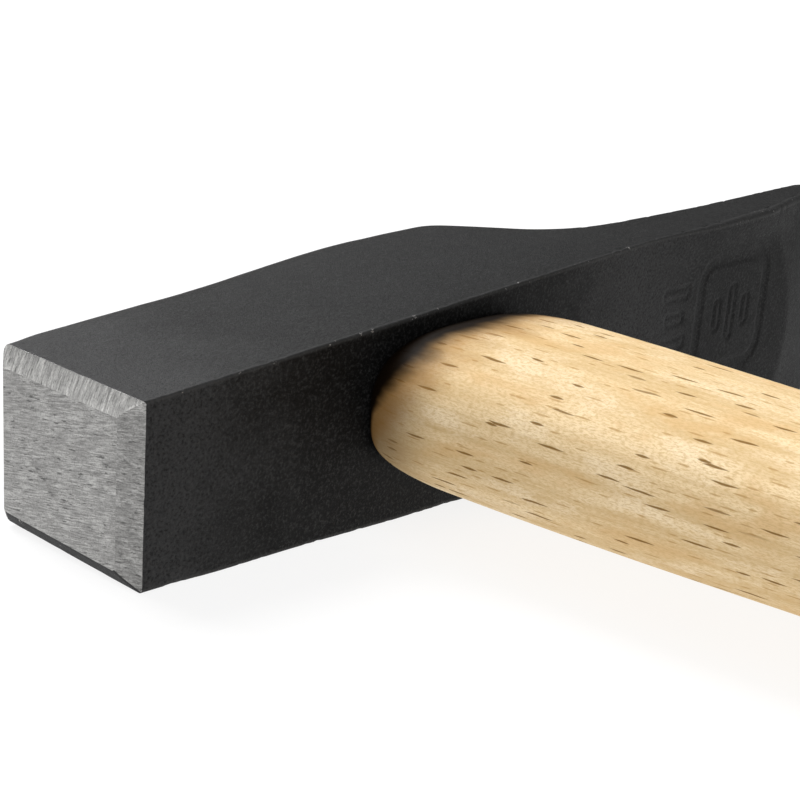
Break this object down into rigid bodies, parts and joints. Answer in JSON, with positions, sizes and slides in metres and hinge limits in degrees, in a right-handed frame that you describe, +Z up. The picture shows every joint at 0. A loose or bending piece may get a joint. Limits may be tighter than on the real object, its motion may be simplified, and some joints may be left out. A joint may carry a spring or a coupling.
{
  "type": "brick hammer",
  "caption": "Brick hammer with a square ground striking face, a flared forged blade and a shaped wooden handle wedged into the eye of the head.",
  "frame": {"origin": "on the lower cheek of the head, below the middle of the eye", "axes": "+X from the striking face to the cutting edge along the lower cheek, the handle along -Y, +Z up from the cheek that the hammer lies on"},
  "size_m": [0.1624, 0.2838, 0.0419],
  "materials": {
    "blackened_steel": "satin black coat on forged steel, ground bare on the striking face",
    "beech": "matt oil finish on steamed beech",
    "wedge_wood": "bare hardwood end grain",
    "wedge_steel": "rolled bare steel"
  },
  "bodies": {
    "root": {"head": "blackened_steel", "handle": "beech", "wooden_wedge": "wedge_wood", "steel_wedge_1": "wedge_steel", "steel_wedge_2": "wedge_steel"}
  },
  "joints": []
}
